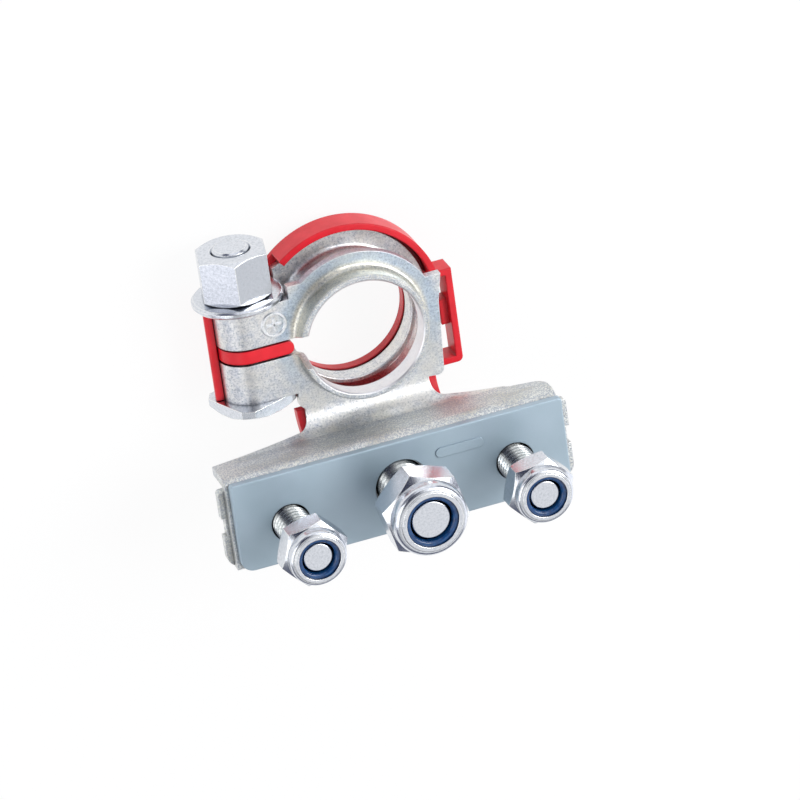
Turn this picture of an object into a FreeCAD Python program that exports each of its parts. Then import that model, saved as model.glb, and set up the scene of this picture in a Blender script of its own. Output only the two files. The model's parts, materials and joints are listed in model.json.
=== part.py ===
import FreeCAD, Part
import math
import os
from collections import namedtuple

# Battery terminal clamp for a positive post, with a bar of three threaded studs.
# Lengths are in millimetres. The origin is on the axis of the post bore, at the rear face
# of the plastic carrier. X runs along the stud bar, Y from the bar to the ring, and Z along
# the post and the studs, away from the battery.

# Folded steel sheet
sheet = 1.5
bend_outer = 2.2
neck_bend_inner = 3.6

# Clamp bolt, captive washer and tall nut
bolt_diameter = 6.0
bolt_in_ear_clearance = 0.1
bolt_tip_past_nut = 0.45
bolt_tip_chamfer = 0.35
bolt_head_width = 11.5
bolt_head_thickness = 1.9
bolt_head_corner = 1.5
bolt_head_turned_radius = 5.85
bolt_head_angle = 22.0
bolt_head_clearance = 0.2
washer_radius = 7.5
washer_thickness = 1.2
washer_edge = 0.35
washer_travel = 2.0
washer_side_clearance = 0.3
clamp_nut_across_flats = 11.0
clamp_nut_height = 7.9
clamp_nut_angle = 101.5
thread_clearance = 0.05
hex_face_share = 0.97
hex_cone_angle = 30.0
nut_bore_chamfer = 0.35

# Clamping ring: two plates, each with a collar drawn towards the front
front_bore_radius = 9.75
rear_bore_radius = 10.2
collar_height = 3.6
collar_wall = 1.05
collar_root_fillet = 0.8
collar_rim_break = 0.2
collar_flare = 2.4
front_ring_width = 3.75
rear_ring_width = 4.1
ring_seam_overlap = 0.2
ring_slit = 2.9
slit_at_rim = 5.8

# Ears: the sheet wraps round the clamp bolt and joins the two plates
ear_axis_outside_ring = 3.7
ear_height = 6.9
front_shoulder_rise = 2.5
rear_shoulder_rise = 1.3
lower_root_x = -11.6
lower_root_y = -10.6

# Shoulder tab on the right of the front plate
tab_top_y = 6.0
tab_top_x = 14.7
tab_waist_x = 13.8
tab_waist_y = 1.4
tab_bottom_x = 13.1
tab_bottom_y = -11.7
tab_corner = 1.2

# Neck and top flange
neck_left_x = -10.7
neck_right_x = 10.2
flange_y = -15.1
wing_left_overhang = 0.5
wing_right_inset = 0.35
wing_left_edge_z = 14.0
wing_right_edge_z = 14.9
wing_root_z = 11.5
wing_fillet = 2.6
wing_corner = 2.2
shear_step_reach = 6.6
shear_step = 0.5

# Stud bar
bar_centre_x = 0.3
bar_centre_y = -23.44
bar_front_z = 20.5
bar_bottom_y = -31.0
stud_end_distance = 9.1
side_stud_drop = 1.1
centre_stud_drop = 0.0
stud_hole_clearance = 0.2

# Contact plate in front of the bar
contact_length = 56.7
contact_height = 15.7
contact_thickness = 1.2
contact_corner = 0.6
contact_lower_left_corner = 2.2
contact_edge = 0.25
side_contact_hole = 3.25
centre_contact_hole = 4.6
emboss_x = 10.25
emboss_y = 4.0
emboss_length = 8.2
emboss_width = 1.7
emboss_rise = 0.2

# Retainer behind the bar
retainer_thickness = 1.5
retainer_overhang = 1.5
retainer_bend_gap = 0.1
retainer_recess = 0.55
retainer_recess_width = 3.2
retainer_recess_y = -23.75
retainer_upper_corner = 0.6
retainer_lower_corner = 2.0
square_hole_clearance = 0.1

# Side studs and the centre stud
side_stud_diameter = 6.0
centre_stud_diameter = 8.0
side_stud_tip_chamfer = 0.6
centre_stud_tip_chamfer = 0.8
stud_pilot_rise = 0.7
stud_tip_entry = 0.1
side_stud_head_radius = 6.0
centre_stud_head_radius = 6.6
side_stud_head = 2.6
centre_stud_head = 3.4
stud_head_edge = 0.6

# Lock nuts with nylon rings
nut_top_z = 36.5
side_nut_across_flats = 10.0
side_nut_height = 6.0
side_nut_hex_height = 4.0
left_nut_angle = 12.0
right_nut_angle = 12.0
centre_nut_across_flats = 13.0
centre_nut_height = 8.0
centre_nut_hex_height = 5.4
centre_nut_angle = 44.0
crown_inset = 0.25
side_crown_round = 0.6
centre_crown_round = 1.05
crown_step = 0.25
crown_step_draft = 0.12
crown_cone_share = 0.7
side_lip_radius = 3.5
centre_lip_radius = 4.4
lip_thickness = 0.4
insert_height = 1.3
insert_hidden_width = 0.5
insert_seat_gap = 0.02
side_insert_bore = 2.75
centre_insert_bore = 3.6

# Plastic carrier behind the ring
carrier_floor = 1.0
carrier_bore_radius = 10.3
carrier_lip_height = 0.9
carrier_lip_top = 0.2
carrier_lip_base = 1.2
band_gap = 0.7
band_wall = 1.1
band_front_z = 4.8
band_start_angle = 14.0
band_end_angle = 129.0
cradle_gap = 0.1
cradle_wall = 1.3
cradle_edge_round = 0.5
cradle_end_gap = 0.1
rib_thickness = 2.2
rib_right_x = -11.1
rib_inset = 0.1
rib_end_round = 1.0
rib_bolt_clearance = 0.3
latch_wall = 1.1
latch_reach = 1.95
latch_top_y = 3.9
latch_bottom_y = -12.9
latch_corner = 0.9
latch_rear_z = 1.0
latch_front_z = 5.0
latch_nub_reach = 1.3
latch_nub_top_y = -1.9
latch_nub_bottom_y = -6.3
latch_nub_front_z = 3.8
heel_left_x = -11.9
heel_right_x = 12.0
heel_thickness = 1.7
heel_clearance = 0.15
heel_start_angle = 263.0
heel_end_angle = 200.0
heel_wall_half_width = 8.0
heel_wall_thickness = 1.4

# Places that follow from the driving sizes
rear_plate_z = carrier_floor
ear_inner_radius = bolt_diameter / 2 + bolt_in_ear_clearance
ear_outer_radius = ear_inner_radius + sheet
ear_axis_z = rear_plate_z + ear_outer_radius
front_plate_z = ear_axis_z + ear_inner_radius
front_face_z = front_plate_z + sheet
front_ring_radius = front_bore_radius + front_ring_width
rear_ring_radius = rear_bore_radius + rear_ring_width
carrier_radius = rear_ring_radius + band_gap + band_wall
ear_axis_x = -rear_ring_radius - ear_axis_outside_ring
latch_right_x = carrier_radius + latch_reach
washer_reach = math.sqrt(washer_radius ** 2 - ear_inner_radius ** 2)
shoulder_x = ear_axis_x + washer_reach + washer_side_clearance
front_shoulder_y = math.sqrt(front_ring_radius ** 2 - shoulder_x ** 2) + front_shoulder_rise
rear_shoulder_y = math.sqrt(rear_ring_radius ** 2 - shoulder_x ** 2) + rear_shoulder_rise
upper_ear_top_y = ring_slit / 2 + ear_height
lower_ear_bottom_y = -upper_ear_top_y
bar_rear_z = bar_front_z - sheet
contact_front_z = bar_front_z + contact_thickness
retainer_rear_z = bar_rear_z - retainer_thickness
neck_bend_y = flange_y + neck_bend_inner
neck_bend_z = front_face_z + neck_bend_inner
nut_seat_y = upper_ear_top_y + washer_thickness
stud_pitch = contact_length / 2 - stud_end_distance
wing_left_x = bar_centre_x - contact_length / 2 - wing_left_overhang
wing_right_x = bar_centre_x + contact_length / 2 - wing_right_inset
shear_step_x = wing_right_x - shear_step_reach
side_stud_y = bar_centre_y - side_stud_drop
centre_stud_y = bar_centre_y - centre_stud_drop
through = 200.0


def vector(x, y, z=0.0):
    return FreeCAD.Vector(x, y, z)


def polygon(points):
    return Part.makePolygon([*points, points[0]])


def prism(wire, direction):
    return Part.Face(wire).extrude(direction)


def box(x0, x1, y0, y1, z0, z1):
    return Part.makeBox(x1 - x0, y1 - y0, z1 - z0, vector(x0, y0, z0))


def joined(first, *others):
    return first.fuse(list(others)).removeSplitter()


def arc(start, middle, end):
    return Part.Arc(start, middle, end).toShape()


def line(start, end):
    return Part.makeLine(start, end)


def arc_about(centre, radius, start, end, place):
    """Arc between two angles in degrees; place turns its two coordinates into a point."""
    points = []
    for angle in (start, (start + end) / 2, end):
        a = math.radians(angle)
        points.append(place(centre[0] + radius * math.cos(a), centre[1] + radius * math.sin(a)))
    return arc(*points)


def in_xy(x, y):
    return vector(x, y, 0)


def in_xz(x, z):
    return vector(x, 0, z)


def in_yz(y, z):
    return vector(0, y, z)


def chain(pieces):
    """Closed wire from edges in order; straight runs are added between their ends."""
    edges = []
    for piece, following in zip(pieces, pieces[1:] + pieces[:1]):
        if isinstance(piece, Part.Shape):
            edges.append(piece)
            end = piece.Vertexes[-1].Point
        else:
            end = piece
        start = following.Vertexes[0].Point if isinstance(following, Part.Shape) else following
        if end.distanceToPoint(start) > 1e-6:
            edges.append(line(end, start))
    return Part.Wire(edges)


def turned(profile, axis_point, axis):
    return Part.Face(profile).revolve(axis_point, axis, 360)


def rounded(solid, radius, chosen):
    """Fillet the edges that the test picks."""
    return solid.makeFillet(radius, [edge for edge in solid.Edges if chosen(edge)])


def is_upright(edge):
    ends = [vertex.Point for vertex in edge.Vertexes]
    return len(ends) == 2 and abs(ends[0].x - ends[1].x) < 1e-6 and abs(ends[0].y - ends[1].y) < 1e-6


def is_level(edge):
    """Whether the edge runs along Y."""
    ends = [vertex.Point for vertex in edge.Vertexes]
    return len(ends) == 2 and abs(ends[0].x - ends[1].x) < 1e-6 and abs(ends[0].z - ends[1].z) < 1e-6


def near(edge, x, y):
    return abs(edge.CenterOfMass.x - x) < 1e-3 and abs(edge.CenterOfMass.y - y) < 1e-3


def near_xz(edge, x, z):
    return abs(edge.CenterOfMass.x - x) < 1e-3 and abs(edge.CenterOfMass.z - z) < 1e-3


def hex_corner(across_flats):
    """Distance from a hexagon's centre to its corners."""
    return across_flats / (2 * math.cos(math.radians(30)))


def hex_prism(across_flats, height, turn):
    """Hexagon about Z, with one corner at the angle turn."""
    corner = hex_corner(across_flats)
    points = []
    for k in range(6):
        a = math.radians(turn + 60 * k)
        points.append(vector(corner * math.cos(a), corner * math.sin(a), 0))
    return prism(polygon(points), vector(0, 0, height))


def laid_on_bolt(solid, start_y):
    """Turn a piece made about Z so that its Z runs along +Y on the clamp bolt's axis."""
    solid.rotate(vector(0, 0, 0), vector(1, 0, 0), -90)
    solid.translate(vector(ear_axis_x, start_y, ear_axis_z))
    return solid


def ring_seam(bore_radius, ring_radius):
    """Radius at which a plate gives way to its drawn collar."""
    return (bore_radius + collar_flare + ring_radius) / 2


def ring_collar(bore_radius, ring_radius, plate_z):
    """Collar drawn from a plate: flared entry behind, straight bore, sheared rim in front."""
    front = plate_z + sheet
    rim = front + collar_height
    outer = bore_radius + collar_wall
    foot = bore_radius + collar_flare
    edge = ring_seam(bore_radius, ring_radius) + ring_seam_overlap
    flare = arc_about((foot, plate_z + collar_flare), collar_flare, 270, 180, in_xz)
    root_centre = (outer + collar_root_fillet, front + collar_root_fillet)
    root = arc_about(root_centre, collar_root_fillet, 180, 270, in_xz)
    profile = chain([
        flare,
        in_xz(bore_radius, rim - collar_rim_break),
        in_xz(bore_radius + collar_rim_break, rim),
        in_xz(outer - collar_rim_break, rim),
        in_xz(outer, rim - collar_rim_break),
        root,
        in_xz(edge, front),
        in_xz(edge, plate_z),
    ])
    return turned(profile, vector(0, 0, 0), vector(0, 0, 1))


def tangent_angle(x, y, radius):
    """Angle at which a line from the point (x, y) touches the circle, on its upper side."""
    return math.degrees(math.atan2(y, x) - math.acos(radius / math.hypot(x, y)))


def plate_with_hole(plate, plate_z, hole_radius):
    plate.translate(vector(0, 0, plate_z))
    hole = Part.makeCylinder(hole_radius, through, vector(0, 0, -through / 2))
    return plate.cut(hole)


def front_plate():
    shoulder_angle = 180 - math.degrees(math.asin(front_shoulder_y / front_ring_radius))
    tab_angle = math.degrees(math.asin(tab_top_y / front_ring_radius))
    outline = chain([
        arc_about((0, 0), front_ring_radius, shoulder_angle, tab_angle, in_xy),
        in_xy(tab_top_x, tab_top_y),
        in_xy(tab_waist_x, tab_waist_y),
        in_xy(tab_bottom_x, tab_bottom_y),
        in_xy(neck_right_x, neck_bend_y),
        in_xy(neck_left_x, neck_bend_y),
        in_xy(lower_root_x, lower_root_y),
        in_xy(lower_root_x, lower_ear_bottom_y),
        in_xy(ear_axis_x, lower_ear_bottom_y),
        in_xy(ear_axis_x, upper_ear_top_y),
        in_xy(shoulder_x, upper_ear_top_y),
        in_xy(shoulder_x, front_shoulder_y),
    ])
    plate = prism(outline, vector(0, 0, sheet))
    plate = rounded(plate, tab_corner,
                    lambda edge: is_upright(edge) and near(edge, tab_bottom_x, tab_bottom_y))
    return plate_with_hole(plate, front_plate_z, ring_seam(front_bore_radius, front_ring_radius))


def rear_plate():
    touch = tangent_angle(shoulder_x, rear_shoulder_y, rear_ring_radius)
    lower_angle = 180 + math.degrees(math.asin(-lower_ear_bottom_y / rear_ring_radius))
    outline = chain([
        arc_about((0, 0), rear_ring_radius, touch, lower_angle - 360, in_xy),
        in_xy(ear_axis_x, lower_ear_bottom_y),
        in_xy(ear_axis_x, upper_ear_top_y),
        in_xy(shoulder_x, upper_ear_top_y),
        in_xy(shoulder_x, rear_shoulder_y),
    ])
    plate = prism(outline, vector(0, 0, sheet))
    return plate_with_hole(plate, rear_plate_z, ring_seam(rear_bore_radius, rear_ring_radius))


def ear_wrap():
    """The rounded left side of both ears, which joins the plates round the bolt."""
    outer = arc_about((ear_axis_x, ear_axis_z), ear_outer_radius, 90, 270, in_xz)
    inner = arc_about((ear_axis_x, ear_axis_z), ear_inner_radius, 270, 90, in_xz)
    wrap = prism(chain([outer, inner]), vector(0, 2 * upper_ear_top_y, 0))
    wrap.translate(vector(0, -upper_ear_top_y, 0))
    return wrap


def bar_strip():
    """Neck bend, top flange and stud bar, as one strip of sheet seen from the side."""
    bend = (neck_bend_y, neck_bend_z)
    corner = (flange_y - bend_outer, bar_front_z - bend_outer)
    profile = chain([
        arc_about(bend, neck_bend_inner, 270, 180, in_yz),
        arc_about(corner, bend_outer, 0, 90, in_yz),
        in_yz(bar_bottom_y, bar_front_z),
        in_yz(bar_bottom_y, bar_rear_z),
        arc_about(corner, bend_outer - sheet, 90, 0, in_yz),
        arc_about(bend, neck_bend_inner + sheet, 180, 270, in_yz),
    ])
    strip = prism(profile, vector(2 * through, 0, 0))
    strip.translate(vector(-through, 0, 0))
    return strip


def bar_outline():
    """What is kept of the strip, seen along Y: the neck, then wings that narrow to their ends."""
    slope = (wing_right_edge_z - wing_root_z) / (wing_right_x - neck_right_x)
    step_z = wing_root_z + slope * (shear_step_x - neck_right_x)
    outline = polygon([
        in_xz(neck_left_x, 0),
        in_xz(neck_left_x, wing_root_z),
        in_xz(wing_left_x, wing_left_edge_z),
        in_xz(wing_left_x, contact_front_z),
        in_xz(wing_right_x, contact_front_z),
        in_xz(wing_right_x, wing_right_edge_z),
        in_xz(shear_step_x + shear_step, step_z + shear_step / 2),
        in_xz(shear_step_x, step_z - shear_step / 2),
        in_xz(neck_right_x, wing_root_z),
        in_xz(neck_right_x, 0),
    ])
    kept = prism(outline, vector(0, -through, 0))
    kept = rounded(kept, wing_fillet, lambda edge: is_level(edge) and
                   (near_xz(edge, neck_left_x, wing_root_z) or near_xz(edge, neck_right_x, wing_root_z)))
    return rounded(kept, wing_corner,
                   lambda edge: is_level(edge) and near_xz(edge, wing_right_x, wing_right_edge_z))


stud_sizes = "name x y diameter tip_chamfer head_radius head_height contact_hole "
nut_sizes = "nut_across_flats nut_height nut_hex_height nut_angle crown_round lip_radius insert_bore"
Stud = namedtuple("Stud", stud_sizes + nut_sizes)


def side_stud(name, x, nut_angle):
    return Stud(name, x, side_stud_y, side_stud_diameter, side_stud_tip_chamfer, side_stud_head_radius,
                side_stud_head, side_contact_hole, side_nut_across_flats, side_nut_height,
                side_nut_hex_height, nut_angle, side_crown_round, side_lip_radius, side_insert_bore)


def centre_stud():
    return Stud("centre", bar_centre_x, centre_stud_y, centre_stud_diameter, centre_stud_tip_chamfer,
                centre_stud_head_radius, centre_stud_head, centre_contact_hole, centre_nut_across_flats,
                centre_nut_height, centre_nut_hex_height, centre_nut_angle, centre_crown_round,
                centre_lip_radius, centre_insert_bore)


def studs():
    return [
        side_stud("left", bar_centre_x - stud_pitch, left_nut_angle),
        centre_stud(),
        side_stud("right", bar_centre_x + stud_pitch, right_nut_angle),
    ]


def stud_bar():
    bar = bar_strip().common(bar_outline())
    for each in studs():
        hole_radius = each.diameter / 2 + stud_hole_clearance
        bar = bar.cut(Part.makeCylinder(hole_radius, through, vector(each.x, each.y)))
    return bar


def slit_wedge(plate_z):
    """The slit through one collar, which spreads from the plate's front to the collar's rim."""
    front = plate_z + sheet
    rim = front + collar_height
    spread = (slit_at_rim - ring_slit) / 2
    outline = polygon([
        in_yz(-ring_slit / 2, front),
        in_yz(ring_slit / 2, front),
        in_yz(ring_slit / 2 + spread, rim),
        in_yz(-ring_slit / 2 - spread, rim),
    ])
    return prism(outline, vector(shoulder_x - collar_flare, 0, 0))


def clamp_body():
    slit = box(-through, 0, -ring_slit / 2, ring_slit / 2, -through, through)
    before_bend = box(-through, through, neck_bend_y, through, 0, through)
    front_collar = ring_collar(front_bore_radius, front_ring_radius, front_plate_z).common(before_bend)
    front = joined(front_plate(), front_collar)
    rear = joined(rear_plate(), ring_collar(rear_bore_radius, rear_ring_radius, rear_plate_z))
    body = joined(front, rear, ear_wrap(), stud_bar())
    return body.cut([slit, slit_wedge(front_plate_z), slit_wedge(rear_plate_z)])


def clamp_bolt():
    """Square thin head, kept from turning by the carrier, and a shank through both ears."""
    half = bolt_head_width / 2
    head = box(-half, half, -half, half, 0, bolt_head_thickness)
    head = head.makeChamfer(bolt_head_corner, [edge for edge in head.Edges if is_upright(edge)])
    widest = bolt_head_width / math.sqrt(2)
    drop = (widest - bolt_head_turned_radius) * math.tan(math.radians(hex_cone_angle))
    head = head.common(turned(polygon([
        in_xz(0, 0),
        in_xz(bolt_head_turned_radius, 0),
        in_xz(widest, drop),
        in_xz(widest, bolt_head_thickness),
        in_xz(0, bolt_head_thickness),
    ]), vector(0, 0, 0), vector(0, 0, 1)))
    head.rotate(vector(0, 0, 0), vector(0, 0, 1), bolt_head_angle)
    length = nut_seat_y + clamp_nut_height + bolt_tip_past_nut - lower_ear_bottom_y
    radius = bolt_diameter / 2
    shank = Part.makeCylinder(radius, length, vector(0, 0, bolt_head_thickness))
    tip_z = bolt_head_thickness + length
    shank = shank.makeChamfer(bolt_tip_chamfer, [edge for edge in shank.Edges
                                                 if abs(edge.BoundBox.ZMin - tip_z) < 1e-6])
    return laid_on_bolt(joined(head, shank), lower_ear_bottom_y - bolt_head_thickness)


def clamp_washer():
    bore = bolt_diameter / 2 + thread_clearance
    profile = polygon([
        in_xz(bore, 0),
        in_xz(washer_radius - washer_edge, 0),
        in_xz(washer_radius, washer_edge),
        in_xz(washer_radius, washer_thickness - washer_edge),
        in_xz(washer_radius - washer_edge, washer_thickness),
        in_xz(bore, washer_thickness),
    ])
    return laid_on_bolt(turned(profile, vector(0, 0, 0), vector(0, 0, 1)), upper_ear_top_y)


def chamfered_hex(across_flats, height, turn, bore):
    """Hexagon whose two ends are turned to a cone, with a bore that is countersunk at both ends."""
    corner = hex_corner(across_flats)
    flat = across_flats / 2 * hex_face_share
    drop = (corner - flat) * math.tan(math.radians(hex_cone_angle))
    profile = polygon([
        in_xz(bore + nut_bore_chamfer, 0),
        in_xz(flat, 0),
        in_xz(corner, drop),
        in_xz(corner, height - drop),
        in_xz(flat, height),
        in_xz(bore + nut_bore_chamfer, height),
        in_xz(bore, height - nut_bore_chamfer),
        in_xz(bore, nut_bore_chamfer),
    ])
    return hex_prism(across_flats, height, turn).common(turned(profile, vector(0, 0, 0), vector(0, 0, 1)))


def clamp_nut():
    bore = bolt_diameter / 2 + thread_clearance
    nut = chamfered_hex(clamp_nut_across_flats, clamp_nut_height, -clamp_nut_angle, bore)
    return laid_on_bolt(nut, nut_seat_y)


def contact_plate():
    x0 = bar_centre_x - contact_length / 2
    y0 = bar_centre_y - contact_height / 2
    plate = box(x0, x0 + contact_length, y0, y0 + contact_height, bar_front_z, contact_front_z)
    x1 = x0 + contact_length
    y1 = y0 + contact_height
    plate = rounded(plate, contact_lower_left_corner, lambda edge: is_upright(edge) and near(edge, x0, y0))
    corners = [(x0, y1), (x1, y0), (x1, y1)]
    plate = rounded(plate, contact_corner,
                    lambda edge: is_upright(edge) and any(near(edge, x, y) for x, y in corners))
    plate = rounded(plate, contact_edge, lambda edge: abs(edge.BoundBox.ZMin - contact_front_z) < 1e-6)
    for each in studs():
        plate = plate.cut(Part.makeCylinder(each.contact_hole, through, vector(each.x, each.y, 0)))
    half = (emboss_length - emboss_width) / 2
    radius = emboss_width / 2
    slot = chain([
        arc_about((half, 0), radius, -90, 90, in_xy),
        arc_about((-half, 0), radius, 90, 270, in_xy),
    ])
    slot.translate(vector(bar_centre_x + emboss_x, bar_centre_y + emboss_y, contact_front_z - emboss_rise))
    return joined(plate, prism(slot, vector(0, 0, 2 * emboss_rise)))


def stud_retainer():
    """Strip behind the bar with a square hole for each stud and a recess in each end."""
    half = contact_length / 2 + retainer_overhang
    x0 = bar_centre_x - half
    x1 = bar_centre_x + half
    top = flange_y - bend_outer - retainer_bend_gap
    plate = box(x0, x1, bar_bottom_y, top, retainer_rear_z, bar_rear_z)
    plate = rounded(plate, retainer_upper_corner,
                    lambda edge: is_upright(edge) and edge.CenterOfMass.y > top - 1e-3)
    plate = rounded(plate, retainer_lower_corner,
                    lambda edge: is_upright(edge) and edge.CenterOfMass.y < bar_bottom_y + 1e-3)
    low = retainer_recess_y - retainer_recess_width / 2
    high = retainer_recess_y + retainer_recess_width / 2
    plate = plate.cut(box(x0 - through, x0 + retainer_recess, low, high, 0, through))
    plate = plate.cut(box(x1 - retainer_recess, x1 + through, low, high, 0, through))
    for each in studs():
        side = each.diameter / 2 + square_hole_clearance
        plate = plate.cut(box(each.x - side, each.x + side, each.y - side, each.y + side, 0, through))
    return plate


def threaded_stud(spec):
    """Round head behind the retainer, square neck in it, and a shank that ends in a short pilot."""
    radius = spec.diameter / 2
    rear_z = retainer_rear_z - spec.head_height
    shoulder_z = nut_top_z - lip_thickness - insert_height + stud_tip_entry
    head = Part.makeCylinder(spec.head_radius, spec.head_height, vector(0, 0, rear_z))
    head = rounded(head, stud_head_edge, lambda edge: abs(edge.BoundBox.ZMax - rear_z) < 1e-6)
    neck = box(-radius, radius, -radius, radius, retainer_rear_z, bar_rear_z)
    shank = Part.makeCylinder(radius, shoulder_z - bar_rear_z, vector(0, 0, bar_rear_z))
    shank = shank.makeChamfer(spec.tip_chamfer, [edge for edge in shank.Edges
                                                 if abs(edge.BoundBox.ZMin - shoulder_z) < 1e-6])
    pilot_height = shoulder_z + stud_pilot_rise - bar_rear_z
    pilot = Part.makeCylinder(radius - spec.tip_chamfer, pilot_height, vector(0, 0, bar_rear_z))
    return joined(head, neck, shank, pilot)


def lock_nut(spec):
    """Hexagon with a turned crown, whose raised lip is rolled over its nylon ring."""
    bore = spec.diameter / 2 + thread_clearance
    height = spec.nut_height
    corner = hex_corner(spec.nut_across_flats)
    flat = spec.nut_across_flats / 2 * hex_face_share
    drop = (corner - flat) * math.tan(math.radians(hex_cone_angle))
    crown = spec.nut_across_flats / 2 - crown_inset
    seat = spec.lip_radius + insert_hidden_width
    insert_top = height - lip_thickness
    insert_bottom = insert_top - insert_height
    dome_top = height - crown_step
    lip_outer = crown - spec.crown_round
    profile = chain([
        in_xz(bore + nut_bore_chamfer, 0),
        in_xz(flat, 0),
        in_xz(corner, drop),
        in_xz(corner, spec.nut_hex_height - (corner - crown) * crown_cone_share),
        in_xz(crown, spec.nut_hex_height),
        arc_about((lip_outer, dome_top - spec.crown_round), spec.crown_round, 0, 90, in_xz),
        in_xz(lip_outer - crown_step_draft, height),
        in_xz(spec.lip_radius, height),
        in_xz(spec.lip_radius, insert_top),
        in_xz(seat, insert_top),
        in_xz(seat, insert_bottom),
        in_xz(bore, insert_bottom),
        in_xz(bore, nut_bore_chamfer),
    ])
    body = turned(profile, vector(0, 0, 0), vector(0, 0, 1))
    return hex_prism(spec.nut_across_flats, height, spec.nut_angle).common(body)


def nut_insert(spec):
    outer = spec.lip_radius + insert_hidden_width - insert_seat_gap
    bottom = spec.nut_height - lip_thickness - insert_height
    ring = Part.makeCylinder(outer, insert_height, vector(0, 0, bottom))
    return ring.cut(Part.makeCylinder(spec.insert_bore, through))


def stud_sets():
    """Each stud with its lock nut and nylon ring."""
    pieces = {}
    for spec in studs():
        shank = threaded_stud(spec)
        shank.translate(vector(spec.x, spec.y, 0))
        pieces[spec.name + "_stud"] = shank
        seat = vector(spec.x, spec.y, nut_top_z - spec.nut_height)
        for suffix, solid in (("_nut", lock_nut(spec)), ("_nut_insert", nut_insert(spec))):
            solid.translate(seat)
            pieces[spec.name + suffix] = solid
    return pieces


def carrier_ring():
    """Floor behind the ring, with a low lip that centres the rear collar's flare."""
    lip_top = carrier_floor + carrier_lip_height
    profile = polygon([
        in_xz(carrier_bore_radius, 0),
        in_xz(carrier_radius, 0),
        in_xz(carrier_radius, carrier_floor),
        in_xz(carrier_bore_radius + carrier_lip_base, carrier_floor),
        in_xz(carrier_bore_radius + carrier_lip_top, lip_top),
        in_xz(carrier_bore_radius, lip_top),
    ])
    return turned(profile, vector(0, 0, 0), vector(0, 0, 1))


def carrier_band():
    """Wall round the top of the ring, from beside the nut to the latch loop."""
    outer = arc_about((0, 0), carrier_radius, band_start_angle, band_end_angle, in_xy)
    inner = arc_about((0, 0), carrier_radius - band_wall, band_end_angle, band_start_angle, in_xy)
    return prism(chain([outer, inner]), vector(0, 0, band_front_z))


def latch_loop():
    """Thin square loop on the right, with a snap nub on the inside of its outer wall."""
    inner_x = latch_right_x - latch_wall
    left = carrier_radius * math.cos(math.radians(band_start_angle)) - band_wall
    loop = box(left, latch_right_x, latch_bottom_y, latch_top_y, latch_rear_z, latch_front_z)
    loop = rounded(loop, latch_corner,
                   lambda edge: is_upright(edge) and near(edge, latch_right_x, latch_bottom_y))
    hole = box(left - 1, inner_x, latch_bottom_y + latch_wall, latch_top_y - latch_wall, -1, through)
    nub = box(inner_x - latch_nub_reach, latch_right_x - latch_wall / 2, latch_nub_bottom_y, latch_nub_top_y,
              latch_rear_z, latch_nub_front_z)
    foot_top = latch_bottom_y + latch_wall
    foot = box(carrier_bore_radius, left + band_wall, latch_bottom_y, foot_top, 0, latch_front_z)
    return joined(loop.cut(hole), nub, foot)


def ear_rib():
    """Rib between the ears, bored for the bolt and rounded like the ears on its left."""
    front = ear_axis_z + ear_outer_radius - rib_inset
    radius = ear_outer_radius - rib_inset
    profile = chain([
        in_xz(ear_axis_x, 0),
        in_xz(rib_right_x, 0),
        in_xz(rib_right_x, front),
        arc_about((ear_axis_x, ear_axis_z), radius, 90, 270, in_xz),
    ])
    rib = prism(profile, vector(0, rib_thickness, 0))
    rib.translate(vector(0, -rib_thickness / 2, 0))
    rib = rounded(rib, rib_end_round,
                  lambda edge: is_upright(edge) and abs(edge.CenterOfMass.x - rib_right_x) < 1e-3)
    hole = Part.makeCylinder(bolt_diameter / 2 + rib_bolt_clearance, through,
                             vector(ear_axis_x, -through / 2, ear_axis_z), vector(0, 1, 0))
    return rib.cut(hole)


def ear_cradle():
    """Floor under both ears, which curls up round the left side of the ears."""
    near_radius = ear_outer_radius + cradle_gap
    far_radius = near_radius + cradle_wall
    top = upper_ear_top_y - cradle_end_gap
    curl = chain([
        arc_about((ear_axis_x, ear_axis_z), near_radius, 180, 270, in_xz),
        arc_about((ear_axis_x, ear_axis_z), far_radius, 270, 180, in_xz),
    ])
    wall = prism(curl, vector(0, 2 * top, 0))
    wall = rounded(wall, cradle_edge_round, lambda edge: is_level(edge) and
                   near_xz(edge, ear_axis_x - far_radius, ear_axis_z))
    wall.translate(vector(0, -top, 0))
    floor = box(ear_axis_x, -carrier_bore_radius, -top, top, 0, carrier_floor)
    infill = box(ear_axis_x - near_radius, ear_axis_x, -top, top, 0, carrier_floor)
    start = vector(ear_axis_x, -top, ear_axis_z)
    infill = infill.common(Part.makeCylinder(far_radius, 2 * top, start, vector(0, 1, 0)))
    above_rear = box(-through, through, -through, through, 0, through)
    return joined(floor, infill, wall.common(above_rear))


def washer_room():
    """Room cut in the carrier for the washer, along the whole of its travel."""
    start = upper_ear_top_y - cradle_end_gap
    end = upper_ear_top_y + washer_thickness + washer_travel + washer_side_clearance
    return Part.makeCylinder(washer_radius + washer_side_clearance, end - start,
                             vector(ear_axis_x, start, ear_axis_z), vector(0, 1, 0))


def bolt_head_room():
    """Room cut in the carrier for the bolt's head."""
    corner = (bolt_head_width - bolt_head_corner) / math.sqrt(2)
    reach = math.hypot(corner, bolt_head_corner / math.sqrt(2)) + bolt_head_clearance
    start = lower_ear_bottom_y - bolt_head_thickness - bolt_head_clearance
    end = lower_ear_bottom_y + cradle_end_gap
    return Part.makeCylinder(reach, end - start, vector(ear_axis_x, start, ear_axis_z), vector(0, 1, 0))


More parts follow.
